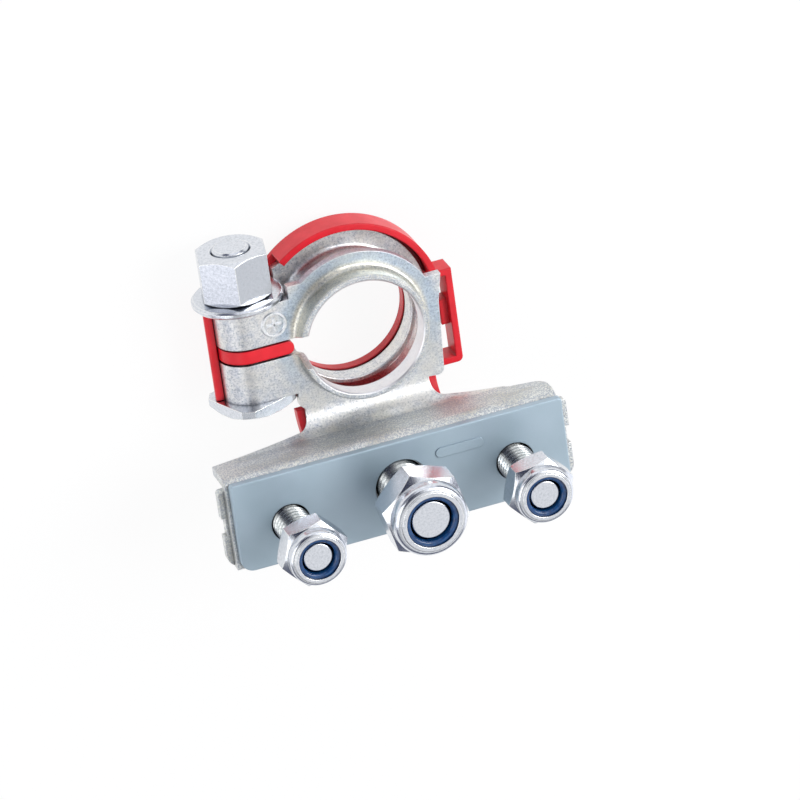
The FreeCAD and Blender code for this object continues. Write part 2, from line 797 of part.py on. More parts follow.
def heel():
    """Liner that backs the neck bend, on a short wall that stands on the floor."""
    bend = (neck_bend_y, neck_bend_z)
    near_radius = neck_bend_inner + sheet + heel_clearance
    far_radius = near_radius + heel_thickness
    profile = chain([
        arc_about(bend, near_radius, heel_start_angle, heel_end_angle, in_yz),
        arc_about(bend, far_radius, heel_end_angle, heel_start_angle, in_yz),
    ])
    liner = prism(profile, vector(heel_right_x - heel_left_x, 0, 0))
    liner.translate(vector(heel_left_x, 0, 0))
    wall_y = -rear_ring_radius - heel_clearance
    wall_top = neck_bend_z - math.sqrt(near_radius ** 2 - (wall_y - neck_bend_y) ** 2)
    wall = box(-heel_wall_half_width, heel_wall_half_width, wall_y - heel_wall_thickness, wall_y,
               0, wall_top - heel_thickness / 2)
    return joined(liner, wall)


def plastic_carrier():
    bore = Part.makeCylinder(carrier_bore_radius, through, vector(0, 0, -through / 2))
    floor = joined(ear_cradle(), carrier_ring()).cut(bore)
    carrier = joined(floor, carrier_band(), latch_loop(), ear_rib(), heel())
    return carrier.cut([washer_room(), bolt_head_room()])


def build():
    pieces = {
        "clamp_body": clamp_body(),
        "plastic_carrier": plastic_carrier(),
        "clamp_bolt": clamp_bolt(),
        "clamp_washer": clamp_washer(),
        "clamp_nut": clamp_nut(),
        "contact_plate": contact_plate(),
        "stud_retainer": stud_retainer(),
    }
    pieces.update(stud_sets())
    os.makedirs("parts", exist_ok=True)
    for name, shape in pieces.items():
        solid = shape.Solids[0] if len(shape.Solids) == 1 else shape
        solid.exportStep("parts/" + name + ".step")
        print(name, len(shape.Solids), shape.isValid(), round(shape.Volume, 2))


build()
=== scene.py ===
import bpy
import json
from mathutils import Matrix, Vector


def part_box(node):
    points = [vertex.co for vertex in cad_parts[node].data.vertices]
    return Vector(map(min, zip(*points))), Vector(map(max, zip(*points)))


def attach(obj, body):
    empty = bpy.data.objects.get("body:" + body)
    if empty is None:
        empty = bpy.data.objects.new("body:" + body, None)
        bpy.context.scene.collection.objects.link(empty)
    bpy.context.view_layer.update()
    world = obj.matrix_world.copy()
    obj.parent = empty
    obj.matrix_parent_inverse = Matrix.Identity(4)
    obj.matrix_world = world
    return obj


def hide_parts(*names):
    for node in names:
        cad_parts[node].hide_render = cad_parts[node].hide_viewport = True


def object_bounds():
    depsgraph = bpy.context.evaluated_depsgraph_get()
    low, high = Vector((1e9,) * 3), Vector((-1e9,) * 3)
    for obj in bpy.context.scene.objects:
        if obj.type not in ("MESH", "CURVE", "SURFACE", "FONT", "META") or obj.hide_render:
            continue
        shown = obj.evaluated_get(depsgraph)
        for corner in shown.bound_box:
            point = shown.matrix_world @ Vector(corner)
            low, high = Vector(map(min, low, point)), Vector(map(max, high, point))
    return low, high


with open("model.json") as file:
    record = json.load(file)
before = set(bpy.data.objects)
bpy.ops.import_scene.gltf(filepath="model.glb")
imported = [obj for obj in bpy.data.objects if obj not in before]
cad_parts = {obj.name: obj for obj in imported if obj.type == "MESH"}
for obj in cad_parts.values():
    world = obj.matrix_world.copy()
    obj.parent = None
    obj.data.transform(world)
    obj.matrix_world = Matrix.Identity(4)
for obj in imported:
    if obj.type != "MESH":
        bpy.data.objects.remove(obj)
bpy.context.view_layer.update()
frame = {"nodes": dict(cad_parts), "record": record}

import json
import math

import bpy
from mathutils import Matrix, Vector

# Battery terminal clamp: the finish of every surface, the cut threads, the rounded nylon rings and the
# polarity mark, with the floor, the light and the camera.
# Lengths are in millimetres, and MM turns them into metres. The frame is the part's own: X along the stud
# bar, Y from the bar to the ring, Z along the post and the studs.
MM = 0.001

STUDS = ("left", "centre", "right")
LOCK_NUTS = tuple(name + "_nut" for name in STUDS)

# Camera: its axes in the part's frame, the point at the picture's centre, and its scale
CAMERA_BACK = Vector((-0.23948, 0.44145, 0.86474))
CAMERA_UP = Vector((0.2536, 0.88817, -0.38319))
CAMERA_AIM = Vector((5.405, -14.971, 8.81))
CAMERA_DISTANCE = 1000.0
CAMERA_CLIP = (10.0, 60000.0)
PICTURE_PIXELS = 800
PIXELS_PER_MM = 6.165
SENSOR_WIDTH = 36.0

# How far one form reaches into the next, so that no slit shows between them, and how near two
# corners of a face stand when they count as one
OVERLAP = 0.04
SAME_PLACE = 0.00001
SHARP_ANGLE = 35.0

# Threads: pitches, depth as a share of the pitch, and the profile as shares of the pitch and of the depth
PITCH = {"left": 1.0, "centre": 1.25, "right": 1.0}
THREAD_DEPTH_SHARE = 0.6
THREAD_PROFILE = ((0.0, 0.0), (0.1, 0.0), (0.16, 0.12), (0.42, 0.9),
                  (0.5, 1.0), (0.58, 1.0), (0.66, 0.9), (0.92, 0.12))
STUD_SEGMENTS = 72
STUD_SHARP_ANGLE = 50.0

# Stud ends: the smooth tip past the thread, and the edge of the head behind the retainer
TIP_RADIUS_SHARE = 0.8
PILOT_RISE = 0.7
PILOT_EDGE = 0.22
TIP_CROWN = 0.05
TIP_CROWN_SHARE = 0.5
HEAD_EDGE = 0.6

# Nylon rings
NYLON_BORE = {"left": 2.75, "centre": 3.6, "right": 2.75}
NYLON_EDGE = 0.38
NYLON_EDGE_STEPS = 8
NYLON_SEGMENTS = 96

# Polarity mark on the front of the upper ear, whose face lies below the upper bore's mount
MARK_CENTRE = Vector((-13.9, 4.72))
MARK_BELOW_MOUNT = 2.15
MARK_RADIUS = 1.92
MARK_RIDGE = 0.34
MARK_RISE = 0.24
MARK_CREST_SHARE = 0.45
MARK_CREST_BREAK = 0.02
MARK_ARMS = (1.35, 1.3)
MARK_ARM_SLOPE = 0.15
MARK_ARM_CREST_SHARE = 0.4
MARK_SEGMENTS = 64

# Radii of the edges that the shading softens
METAL_EDGE = 0.16
PLASTIC_EDGE = 0.4
NYLON_SHADE_EDGE = 0.05
MARK_SHADE_EDGE = 0.03
THREAD_SHADE_EDGE = 0.03

# Noise levels between which a roughness runs, how open a gap is where its painted shade starts and ends, and
# the cosines between which an edge counts as rubbed and takes a painted highlight
ROUGH_SPAN = (0.3, 0.7)
GAP_SHADE_SPAN = (0.15, 0.85)
WORN_HIGHLIGHT_SPAN = (0.90, 0.995)
BEVEL_SAMPLES = 6
GAP_SHADE_SAMPLES = 8

# In every finish below, a base is colours by noise level, a gap shade is painted shade given by a reach, a
# tone and a span, a relief is a depth, a strength and a softened edge, and a cloud is two noise levels, each
# with its share.

# Sheet: speckle and mottle that are multiplied, and the warm clouds over them
SPECKLE = ((0.34, (0.38, 0.42, 0.47)), (0.47, (0.76, 0.77, 0.78)), (0.62, (0.95, 0.95, 0.94)))
MOTTLE = ((0.36, (0.78, 0.81, 0.86)), (0.50, (0.94, 0.94, 0.95)), (0.64, (1.0, 1.0, 0.99)))
WARM_TONE = (0.84, 0.79, 0.69)
WARM_CLOUD = (0.45, 0.0, 0.70, 0.45)
# Painted shade in the sheet's gaps and corners: reach, tone and span
SHEET_GAP_SHADE = (0.8, (0.28, 0.29, 0.31), (0.30, 0.80))
SHEET_ROUGHNESS = (0.42, 0.30)
SHEET_RELIEF = (0.045, 0.7, METAL_EDGE)
FINE_GRAIN_SHARE = 0.5

# Sheet: bluish tint round the front collar, olive tint on its wall and a smooth bore. The places are
# distances from the post's axis as shares of RING_UNIT.
RING_UNIT = 20.0
RING_FROM_Z = 7.0
RING_FADE_Y = (-9.0, -1.0)
RING_SHADE = ((0.575, (0, 0, 0)), (0.61, (1, 1, 1)), (0.66, (1, 1, 1)), (0.745, (0, 0, 0)))
RING_TINT = (0.72, 0.82, 0.92)
WALL_SHADE = ((0.515, (0, 0, 0)), (0.53, (1, 1, 1)), (0.570, (1, 1, 1)), (0.60, (0, 0, 0)))
WALL_TINT = (0.94, 0.91, 0.81)
BORE_SHADE = (0.494, 0.502)
BORE_TONE = (0.90, 0.90, 0.93)
BORE_SHARE = 0.75
BORE_SMOOTHING = (0.0, 1.0, 1.0, 0.2)

# Sheet: heights over which the paler tone and the stains of the flange fade in
FLANGE_FADE_Z = (12.5, 17.5)
FLANGE_TONE = (0.93, 0.95, 0.88)
FLANGE_SHARE = 0.6
STAIN_FADE_Z = (9.0, 15.0)
STAIN_TONE = (0.54, 0.52, 0.44)
STAIN_CLOUD = (0.44, 0.0, 0.68, 0.60)

# Sheet: torn rim of the front collar, and rubbed edges that take a painted highlight
RIM_Z = 13.55
RIM_RADIUS = 10.05
TORN_TONE = (0.42, 0.46, 0.52)
TORN_CLOUD = (0.44, 0.0, 0.56, 0.8)
TORN_HEIGHT_SHARE = 4.0
# Painted highlight on rubbed edges: its tone, reach and share
SHEET_WORN_HIGHLIGHT_TONE = (0.95, 0.95, 0.95)
SHEET_WORN_HIGHLIGHT_REACH = 0.18
SHEET_WORN_HIGHLIGHT_SHARE = 0.6

# Struck mark, fasteners and threads
MARK_BASE = ((0.34, (0.62, 0.66, 0.70)), (0.50, (0.92, 0.93, 0.94)))
MARK_ROUGHNESS = (0.48, 0.36)
MARK_RELIEF = (0.03, 0.6, MARK_SHADE_EDGE)
FASTENER_BASE = ((0.30, (0.60, 0.63, 0.68)), (0.48, (0.70, 0.73, 0.78)), (0.70, (0.78, 0.80, 0.85)))
# Painted highlight on the fasteners' rubbed edges: its tone and reach
FASTENER_WORN_HIGHLIGHT_TONE = (0.97, 0.97, 0.93)
FASTENER_WORN_HIGHLIGHT_REACH = 0.22
# Painted shade in the fasteners' gaps, and a navy painted shade on the lock nuts that stands in for dark
# reflections round their lips
FASTENER_GAP_SHADE = (0.35, (0.40, 0.42, 0.46), (0.25, 0.80))
LOCK_NUT_GAP_SHADE = (0.80, (0.03, 0.035, 0.09), (0.56, 0.84))
FASTENER_ROUGHNESS = (0.26, 0.17)
FASTENER_RELIEF = (0.006, 0.5, METAL_EDGE)
TOOL_GRAIN_SHARE = 0.6
THREAD_BASE = ((0.3, (0.38, 0.41, 0.41)), (0.7, (0.70, 0.72, 0.72)))
# Painted shade in the thread's grooves: reach, tone and span
THREAD_GROOVE_SHADE = (0.6, (0, 0, 0), (0.50, 0.97))
THREAD_ROUGHNESS = (0.30, 0.20)
THREAD_RELIEF = (0.006, 0.4, THREAD_SHADE_EDGE)

# Contact plate, carrier and nylon rings
PLATE_BASE = ((0.3, (0.38, 0.50, 0.58)), (0.7, (0.43, 0.55, 0.64)))
PLATE_GRAIN = (0.3, 0.30, 0.7, 0.60)
PLATE_GRAIN_SHARE = 0.10
# Painted shade on the plate round the nuts and in gaps: reach, tone and span
PLATE_GAP_SHADE = (1.2, (0.45, 0.48, 0.55), GAP_SHADE_SPAN)
PLATE_ROUGHNESS = (0.42, 0.34)
PLATE_METALLIC = 0.35
PLATE_RELIEF = (0.006, 0.4, METAL_EDGE)
PLASTIC_BASE = ((0.3, (0.74, 0.008, 0.020)), (0.7, (0.86, 0.014, 0.030)))
# Painted shade in the carrier's gaps and corners: reach, tone and span
PLASTIC_GAP_SHADE = (1.2, (0.35, 0.30, 0.30), GAP_SHADE_SPAN)
PLASTIC_ROUGHNESS = (0.38, 0.30)
PLASTIC_IOR = 1.46
PLASTIC_RELIEF = (0.04, 0.35, PLASTIC_EDGE)
PLASTIC_GRAIN_SHARE = 0.15
NYLON_BASE = ((0.35, (0.003, 0.036, 0.13)), (0.7, (0.008, 0.080, 0.24)))
# Painted shade in the nylon rings' gaps: reach, tone and span
NYLON_GAP_SHADE = (0.4, (0.2, 0.2, 0.2), GAP_SHADE_SPAN)
NYLON_ROUGHNESS = (0.22, 0.14)
NYLON_IOR = 1.6
NYLON_RELIEF = (0.010, 0.3, NYLON_SHADE_EDGE)

# Lamps, all turned to LAMP_AIM: name, place, side and watts
LAMP_AIM = Vector((0, -8, 8))
LAMPS = (
    ("key_light", (428, 138, 525), 400.0, 2.7),
    ("front_light", (110, -200, 398), 360.0, 0.14),
    ("back_light", (80, 420, 140), 440.0, 0.48),
    ("neck_light", (145, 265, 520), 300.0, 0.19),
    ("left_light", (-380, 0, 234), 400.0, 0.72),
    ("right_light", (390, -198, 110), 320.0, 0.34),
)

# World light by the sine of its elevation, with a dark band low down that the metal mirrors
WORLD_LEVELS = (
    (0.00, (0.40, 0.42, 0.46)),
    (0.10, (0.10, 0.11, 0.17)),
    (0.42, (0.12, 0.13, 0.19)),
    (0.58, (0.60, 0.61, 0.62)),
    (0.80, (0.56, 0.56, 0.57)),
    (1.00, (0.56, 0.56, 0.57)),
)

# Dark side of the studio: its direction, the cosines between which it fades in, and its colour
DARK_SIDE = Vector((-0.24, 0.44, 0.865))
DARK_SIDE_SPAN = (0.875, 0.915)
DARK_SIDE_COLOUR = (0.02, 0.025, 0.06)

FLOOR_SIZE = 30000.0
FLOOR_WHITE_SHARE = 0.92


def mount_of(name):
    return next(m for m in frame["record"]["mounts"] if m["name"] == name)


def upright_extent(node):
    """Centre in X and Y, half width, lowest and highest place of a node, in millimetres."""
    low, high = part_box(node)
    centre = ((low.x + high.x) / 2 / MM, (low.y + high.y) / 2 / MM)
    return centre, (high.x - low.x) / 2 / MM, low.z / MM, high.z / MM


# Meshes

def same_place(first, second):
    return all(abs(a - b) < SAME_PLACE for a, b in zip(first, second))


def mesh_object(name, shell, material, body, sharp_angle=SHARP_ANGLE):
    """Piece from a shell in millimetres, shaded smooth apart from its sharp edges."""
    mesh = bpy.data.meshes.new(name)
    mesh.from_pydata([Vector(v) * MM for v in shell.vertices], [], shell.faces)
    mesh.validate()
    mesh.shade_smooth()
    mesh.set_sharp_from_angle(angle=math.radians(sharp_angle))
    mesh.materials.append(material)
    piece = bpy.data.objects.new(name, mesh)
    bpy.context.scene.collection.objects.link(piece)
    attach(piece, body)
    return piece


class Shell:
    """Points and faces that several forms are added to."""

    def __init__(self):
        self.vertices = []
        self.faces = []

    def add(self, vertices, faces):
        """Add a form, without the faces and corners that shrink to nothing and the points that they leave."""
        kept = []
        for face in faces:
            corners = [c for k, c in enumerate(face) if not same_place(vertices[c], vertices[face[k - 1]])]
            if len(corners) > 2:
                kept.append(corners)
        used = sorted({corner for face in kept for corner in face})
        index = {corner: len(self.vertices) + i for i, corner in enumerate(used)}
        self.vertices.extend(vertices[corner] for corner in used)
        self.faces.extend(tuple(index[corner] for corner in face) for face in kept)

    def revolve(self, profile, centre, segments=STUD_SEGMENTS):
        """Turn a chain of (radius, z) points about an upright axis."""
        vertices = []
        faces = []
        count = len(profile)
        for k in range(segments):
            a = 2 * math.pi * k / segments
            for radius, z in profile:
                vertices.append((centre[0] + radius * math.cos(a), centre[1] + radius * math.sin(a), z))
        for k in range(segments):
            here = k * count
            there = (k + 1) % segments * count
            for i in range(count - 1):
                faces.append((here + i, there + i, there + i + 1, here + i + 1))
        self.add(vertices, faces)

    def box(self, low, high):
        x0, y0, z0 = low
        x1, y1, z1 = high
        vertices = [(x0, y0, z0), (x1, y0, z0), (x1, y1, z0), (x0, y1, z0),
                    (x0, y0, z1), (x1, y0, z1), (x1, y1, z1), (x0, y1, z1)]
        faces = [(3, 2, 1, 0), (4, 5, 6, 7), (0, 1, 5, 4), (1, 2, 6, 5), (2, 3, 7, 6), (3, 0, 4, 7)]
        self.add(vertices, faces)

    def thread(self, centre, radius, pitch, bottom, top, tip_radius):
        """Helical thread whose rows of points follow the helix, cut off flat at both ends."""
        depth = THREAD_DEPTH_SHARE * pitch
        turns = math.ceil((top - bottom) / pitch) + 2
        rows = [(turn + share, radius - sunk * depth)
                for turn in range(-2, turns) for share, sunk in THREAD_PROFILE]
        taper = radius - tip_radius
        vertices = []
        for turn, reach in rows:
            for i in range(STUD_SEGMENTS):
                share = i / STUD_SEGMENTS
                z = bottom + (turn + share) * pitch
                limit = radius - min(max(z - (top - taper), 0.0), taper)
                z = min(max(z, bottom), top)
                a = 2 * math.pi * share
                r = min(reach, limit)
                vertices.append((centre[0] + r * math.cos(a), centre[1] + r * math.sin(a), z))
        faces = []
        across = len(THREAD_PROFILE)
        for row in range(len(rows) - across - 1):
            for i in range(STUD_SEGMENTS):
                a = row * STUD_SEGMENTS + i
                if i + 1 < STUD_SEGMENTS:
                    b = a + 1
                else:
                    b = (row + across) * STUD_SEGMENTS
                face = (a, b, b + STUD_SEGMENTS, a + STUD_SEGMENTS)
                if {vertices[corner][2] for corner in face} not in ({bottom}, {top}):
                    faces.append(face)
        self.add(vertices, faces)


def rounded_corner(radius, z, edge, start, end, steps=6):
    """Arc points about (radius, z), from one angle to another in degrees."""
    points = []
    for k in range(steps + 1):
        a = math.radians(start + (end - start) * k / steps)
        points.append((radius + edge * math.cos(a), z + edge * math.sin(a)))
    return points


# Node helpers for materials and for the world

def math_node(tree, operation, first, second):
    """Sum, product or comparison of two outputs, either of which may be a number."""
    node = tree.nodes.new("ShaderNodeMath")
    node.operation = operation
    for source, target in ((first, node.inputs[0]), (second, node.inputs[1])):
        if isinstance(source, float):
            target.default_value = source
        else:
            tree.links.new(source, target)
    return node.outputs[0]


def colour_ramp(tree, factor, stops):
    node = tree.nodes.new("ShaderNodeValToRGB")
    elements = node.color_ramp.elements
    while len(elements) < len(stops):
        elements.new(0.5)
    for element, (place, colour) in zip(elements, stops):
        element.position = place
        element.color = (*colour, 1)
    tree.links.new(factor, node.inputs["Fac"])
    return node.outputs["Color"]


def colour_mix(tree, first, second, factor, blend="MIX"):
    """Mix of two colours, each an output or a tuple, by a number or an output."""
    node = tree.nodes.new("ShaderNodeMix")
    node.data_type = "RGBA"
    node.blend_type = blend
    if isinstance(factor, float):
        node.inputs[0].default_value = factor
    else:
        tree.links.new(factor, node.inputs[0])
    for source, target in ((first, node.inputs[6]), (second, node.inputs[7])):
        if isinstance(source, tuple):
            target.default_value = (*source, 1)
        else:
            tree.links.new(source, target)
    return node.outputs[2]


def faded(tree, value, span):
    """From nothing to one as a value goes through a span."""
    node = tree.nodes.new("ShaderNodeMapRange")
    node.inputs["From Min"].default_value, node.inputs["From Max"].default_value = span
    tree.links.new(value, node.inputs["Value"])
    return node.outputs[0]


# Materials

class Finish:
    """A material, with short calls for the nodes that its look is made of."""

    def __init__(self, name):
        self.material = bpy.data.materials.new(name)
        self.material.use_nodes = True
        self.tree = self.material.node_tree
        self.tree.nodes.clear()
        output = self.tree.nodes.new("ShaderNodeOutputMaterial")
        self.shader = self.tree.nodes.new("ShaderNodeBsdfPrincipled")
        self.link(self.shader.outputs["BSDF"], output.inputs["Surface"])
        coordinates = self.tree.nodes.new("ShaderNodeTexCoord")
        scale = self.tree.nodes.new("ShaderNodeVectorMath")
        scale.operation = "SCALE"
        scale.inputs["Scale"].default_value = 1 / MM
        self.link(coordinates.outputs["Object"], scale.inputs[0])
        self.millimetres = scale.outputs[0]

    def link(self, source, target):
        self.tree.links.new(source, target)

    def noise(self, size, detail=3.0, roughness=0.55, stretch=(1, 1, 1)):
        """Noise whose features are about that many millimetres across."""
        mapping = self.tree.nodes.new("ShaderNodeMapping")
        mapping.inputs["Scale"].default_value = stretch
        self.link(self.millimetres, mapping.inputs["Vector"])
        node = self.tree.nodes.new("ShaderNodeTexNoise")
        node.inputs["Scale"].default_value = 1 / size
        node.inputs["Detail"].default_value = detail
        node.inputs["Roughness"].default_value = roughness
        self.link(mapping.outputs[0], node.inputs["Vector"])
        return node.outputs["Fac"]

    def ramp(self, factor, stops):
        return colour_ramp(self.tree, factor, stops)

    def grey(self, factor, low_at, low, high_at, high):
        return self.ramp(factor, ((low_at, (low,) * 3), (high_at, (high,) * 3)))

    def mix(self, first, second, factor):
        return colour_mix(self.tree, first, second, factor)

    def tint(self, colour, other):
        return colour_mix(self.tree, colour, other, 1.0, "MULTIPLY")

    def multiply(self, first, second):
        return math_node(self.tree, "MULTIPLY", first, second)

    def above(self, value, limit):
        """One where the value is above the limit."""
        return math_node(self.tree, "GREATER_THAN", value, limit)

    def add(self, first, second, share):
        """The first value and a share of the second."""
        node = self.tree.nodes.new("ShaderNodeMath")
        node.operation = "MULTIPLY_ADD"
        self.link(second, node.inputs[0])
        node.inputs[1].default_value = share
        self.link(first, node.inputs[2])
        return node.outputs[0]

    def soft_edges(self, radius):
        bevel = self.tree.nodes.new("ShaderNodeBevel")
        bevel.samples = BEVEL_SAMPLES
        bevel.inputs["Radius"].default_value = radius * MM
        return bevel.outputs["Normal"]

    def relief(self, height, depth, strength, edge):
        """Bump of that depth in millimetres, on edges softened by the given radius."""
        bump = self.tree.nodes.new("ShaderNodeBump")
        bump.inputs["Strength"].default_value = strength
        bump.inputs["Distance"].default_value = depth * MM
        self.link(height, bump.inputs["Height"])
        self.link(self.soft_edges(edge), bump.inputs["Normal"])
        self.link(bump.outputs["Normal"], self.shader.inputs["Normal"])

    def paint_gap_shade(self, colour, reach, tone, span):
        """Painted shade: tone a colour down where other surfaces stand close to it, as in a gap or a groove,
        where shade falls.
        """
        node = self.tree.nodes.new("ShaderNodeAmbientOcclusion")
        node.samples = GAP_SHADE_SAMPLES
        node.inputs["Distance"].default_value = reach * MM
        low, high = span
        return self.tint(self.ramp(node.outputs["AO"], ((low, tone), (high, (1, 1, 1)))), colour)

    def place(self, axis):
        """Place along one axis of the part, in millimetres."""
        parts = self.tree.nodes.new("ShaderNodeSeparateXYZ")
        self.link(self.millimetres, parts.inputs[0])
        return parts.outputs[axis]

    def post_distance(self):
        """Distance from the post's axis, in millimetres."""
        flat = self.tree.nodes.new("ShaderNodeVectorMath")
        flat.operation = "MULTIPLY"
        flat.inputs[1].default_value = (1, 1, 0)
        self.link(self.millimetres, flat.inputs[0])
        length = self.tree.nodes.new("ShaderNodeVectorMath")
        length.operation = "LENGTH"
        self.link(flat.outputs[0], length.inputs[0])
        return length.outputs["Value"]

    def ring_place(self):
        """Distance from the post's axis, in ring units."""
        return self.multiply(self.post_distance(), 1 / RING_UNIT)

    def torn_rim(self):
        """Coarse noise on the outer part of the front collar's rim, and nothing elsewhere."""
        rim = self.multiply(self.above(self.place("Z"), RIM_Z), self.above(self.post_distance(), RIM_RADIUS))
        return self.multiply(rim, self.noise(0.28, detail=3.0, roughness=0.7))

    def fade(self, axis, span):
        """From nothing to one between two places along an axis."""
        return faded(self.tree, self.place(axis), span)

    def front_ring(self, stops):
        """A zone of the front ring by its distance from the post, fading out towards the neck."""
        near = self.ramp(self.ring_place(), stops)
        away = self.multiply(near, self.fade("Y", RING_FADE_Y))
        return self.multiply(away, self.above(self.place("Z"), RING_FROM_Z))

    def worn_highlit_edges(self, reach):
        """One where the surface turns within that many millimetres, as on a rubbed edge, where a painted
        highlight goes.
        """
        turn = self.tree.nodes.new("ShaderNodeVectorMath")
        turn.operation = "DOT_PRODUCT"
        self.link(self.soft_edges(reach), turn.inputs[0])
        self.link(self.tree.nodes.new("ShaderNodeNewGeometry").outputs["True Normal"], turn.inputs[1])
        return self.grey(turn.outputs["Value"], WORN_HIGHLIGHT_SPAN[0], 1.0, WORN_HIGHLIGHT_SPAN[1], 0.0)

    def rough(self, factor, low, high):
        """Roughness that runs from one value to another with a noise."""
        self.drive("Roughness", self.grey(factor, ROUGH_SPAN[0], low, ROUGH_SPAN[1], high))

    def set(self, **values):
        for name, value in values.items():
            self.shader.inputs[name].default_value = value

    def drive(self, name, source):
        self.link(source, self.shader.inputs[name])


def zinc_sheet():
    """Plated sheet: speckled and mottled, toned by zone, with warm clouds, stains, a torn collar rim, rubbed
    edges with a painted highlight and painted shade in gaps.
    """
    finish = Finish("zinc_sheet")
    grain = finish.noise(0.34, detail=5.0, roughness=0.75)
    patch = finish.noise(1.1, detail=4.0, roughness=0.65)
    cloud = finish.noise(6.0, detail=2.0)
    base = finish.tint(finish.ramp(grain, SPECKLE), finish.ramp(patch, MOTTLE))
    toned = finish.mix(base, WARM_TONE, finish.grey(cloud, *WARM_CLOUD))
    toned = finish.mix(toned, finish.tint(toned, RING_TINT), finish.front_ring(RING_SHADE))
    toned = finish.mix(toned, finish.tint(toned, WALL_TINT), finish.front_ring(WALL_SHADE))
    toned = finish.mix(toned, finish.mix(toned, FLANGE_TONE, FLANGE_SHARE), finish.fade("Z", FLANGE_FADE_Z))
    stain = finish.grey(finish.noise(2.2, detail=4.0, stretch=(0.45, 1.0, 1.0)), *STAIN_CLOUD)
    toned = finish.mix(toned, STAIN_TONE, finish.multiply(stain, finish.fade("Z", STAIN_FADE_Z)))
    torn = finish.torn_rim()
    toned = finish.mix(toned, TORN_TONE, finish.grey(torn, *TORN_CLOUD))
    # Painted highlight: the colour lightens along rubbed edges
    worn_highlight = finish.multiply(finish.worn_highlit_edges(SHEET_WORN_HIGHLIGHT_REACH), SHEET_WORN_HIGHLIGHT_SHARE)
    toned = finish.mix(toned, SHEET_WORN_HIGHLIGHT_TONE, worn_highlight)
    bore = finish.grey(finish.ring_place(), BORE_SHADE[0], 1.0, BORE_SHADE[1], 0.0)
    toned = finish.mix(toned, BORE_TONE, finish.multiply(bore, BORE_SHARE))
    height = finish.add(grain, finish.noise(0.12, detail=2.0), FINE_GRAIN_SHARE)
    height = finish.multiply(height, finish.grey(bore, *BORE_SMOOTHING))
    # Painted shade: the colour darkens in gaps and corners, where shade falls
    finish.drive("Base Color", finish.paint_gap_shade(toned, *SHEET_GAP_SHADE))
    finish.rough(patch, *SHEET_ROUGHNESS)
    finish.set(Metallic=1.0)
    finish.relief(finish.add(height, torn, TORN_HEIGHT_SHARE), *SHEET_RELIEF)
    return finish.material


def zinc_mark():
    """Struck mark: the sheet's plating, in a lighter tone on its ridges."""
    finish = Finish("zinc_mark")
    grain = finish.noise(0.30, detail=4.0, roughness=0.7)
    finish.drive("Base Color", finish.ramp(grain, MARK_BASE))
    finish.rough(grain, *MARK_ROUGHNESS)
    finish.set(Metallic=1.0)
    finish.relief(grain, *MARK_RELIEF)
    return finish.material


def zinc_fastener(name, gap_shade):
    """Plated nuts, washer and bolt: brighter and smoother, with faint tool lines, rubbed edges with a painted
    highlight, and painted shade in gaps.
    """
    finish = Finish(name)
    grain = finish.noise(0.40, detail=4.0, roughness=0.65)
    lines = finish.noise(0.14, detail=2.0, stretch=(1.0, 0.15, 0.15))
    base = finish.ramp(grain, FASTENER_BASE)
    # Painted highlight: the colour lightens along rubbed edges
    worn_highlight = finish.mix(base, FASTENER_WORN_HIGHLIGHT_TONE, finish.worn_highlit_edges(FASTENER_WORN_HIGHLIGHT_REACH))
    # Painted shade: the colour darkens where other surfaces stand close
    finish.drive("Base Color", finish.paint_gap_shade(worn_highlight, *gap_shade))
    finish.rough(grain, *FASTENER_ROUGHNESS)
    finish.set(Metallic=1.0)
    finish.relief(finish.add(lines, grain, TOOL_GRAIN_SHARE), *FASTENER_RELIEF)
    return finish.material


def zinc_thread():
    """Cut threads: duller than the nuts, with painted shade that darkens the grooves, so that the crests
    stand out bright.
    """
    finish = Finish("zinc_thread")
    grain = finish.noise(0.35, detail=3.0, roughness=0.6)
    finish.drive("Base Color", finish.paint_gap_shade(finish.ramp(grain, THREAD_BASE), *THREAD_GROOVE_SHADE))
    finish.rough(grain, *THREAD_ROUGHNESS)
    finish.set(Metallic=1.0)
    finish.relief(grain, *THREAD_RELIEF)
    return finish.material


def gray_plate():
    """Blue-gray plated contact plate, satin, with a very fine grain and painted shade where other parts stand
    close.
    """
    finish = Finish("gray_plate")
    grain = finish.noise(0.14, detail=3.0)
    cloud = finish.noise(7.0, detail=2.0)
    toned = finish.mix(finish.ramp(cloud, PLATE_BASE), finish.grey(grain, *PLATE_GRAIN), PLATE_GRAIN_SHARE)
    finish.drive("Base Color", finish.paint_gap_shade(toned, *PLATE_GAP_SHADE))
    finish.rough(grain, *PLATE_ROUGHNESS)
    finish.set(Metallic=PLATE_METALLIC)
    finish.relief(grain, *PLATE_RELIEF)
    return finish.material


def red_plastic():
    """Moulded red plastic, smooth and semi-gloss, slightly uneven, with painted shade in gaps and corners."""
    finish = Finish("red_plastic")
    cloud = finish.noise(3.0, detail=3.0)
    finish.drive("Base Color", finish.paint_gap_shade(finish.ramp(cloud, PLASTIC_BASE), *PLASTIC_GAP_SHADE))
    finish.rough(cloud, *PLASTIC_ROUGHNESS)
    finish.set(IOR=PLASTIC_IOR)
    height = finish.add(cloud, finish.noise(0.2, detail=2.0), PLASTIC_GRAIN_SHARE)
    finish.relief(height, *PLASTIC_RELIEF)
    return finish.material


def blue_nylon():
    """Navy nylon, smooth, with a faint lighter bloom and painted shade in gaps."""
    finish = Finish("blue_nylon")
    cloud = finish.noise(0.8, detail=3.0)
    finish.drive("Base Color", finish.paint_gap_shade(finish.ramp(cloud, NYLON_BASE), *NYLON_GAP_SHADE))
    finish.rough(cloud, *NYLON_ROUGHNESS)
    finish.set(IOR=NYLON_IOR)
    finish.relief(cloud, *NYLON_RELIEF)
    return finish.material


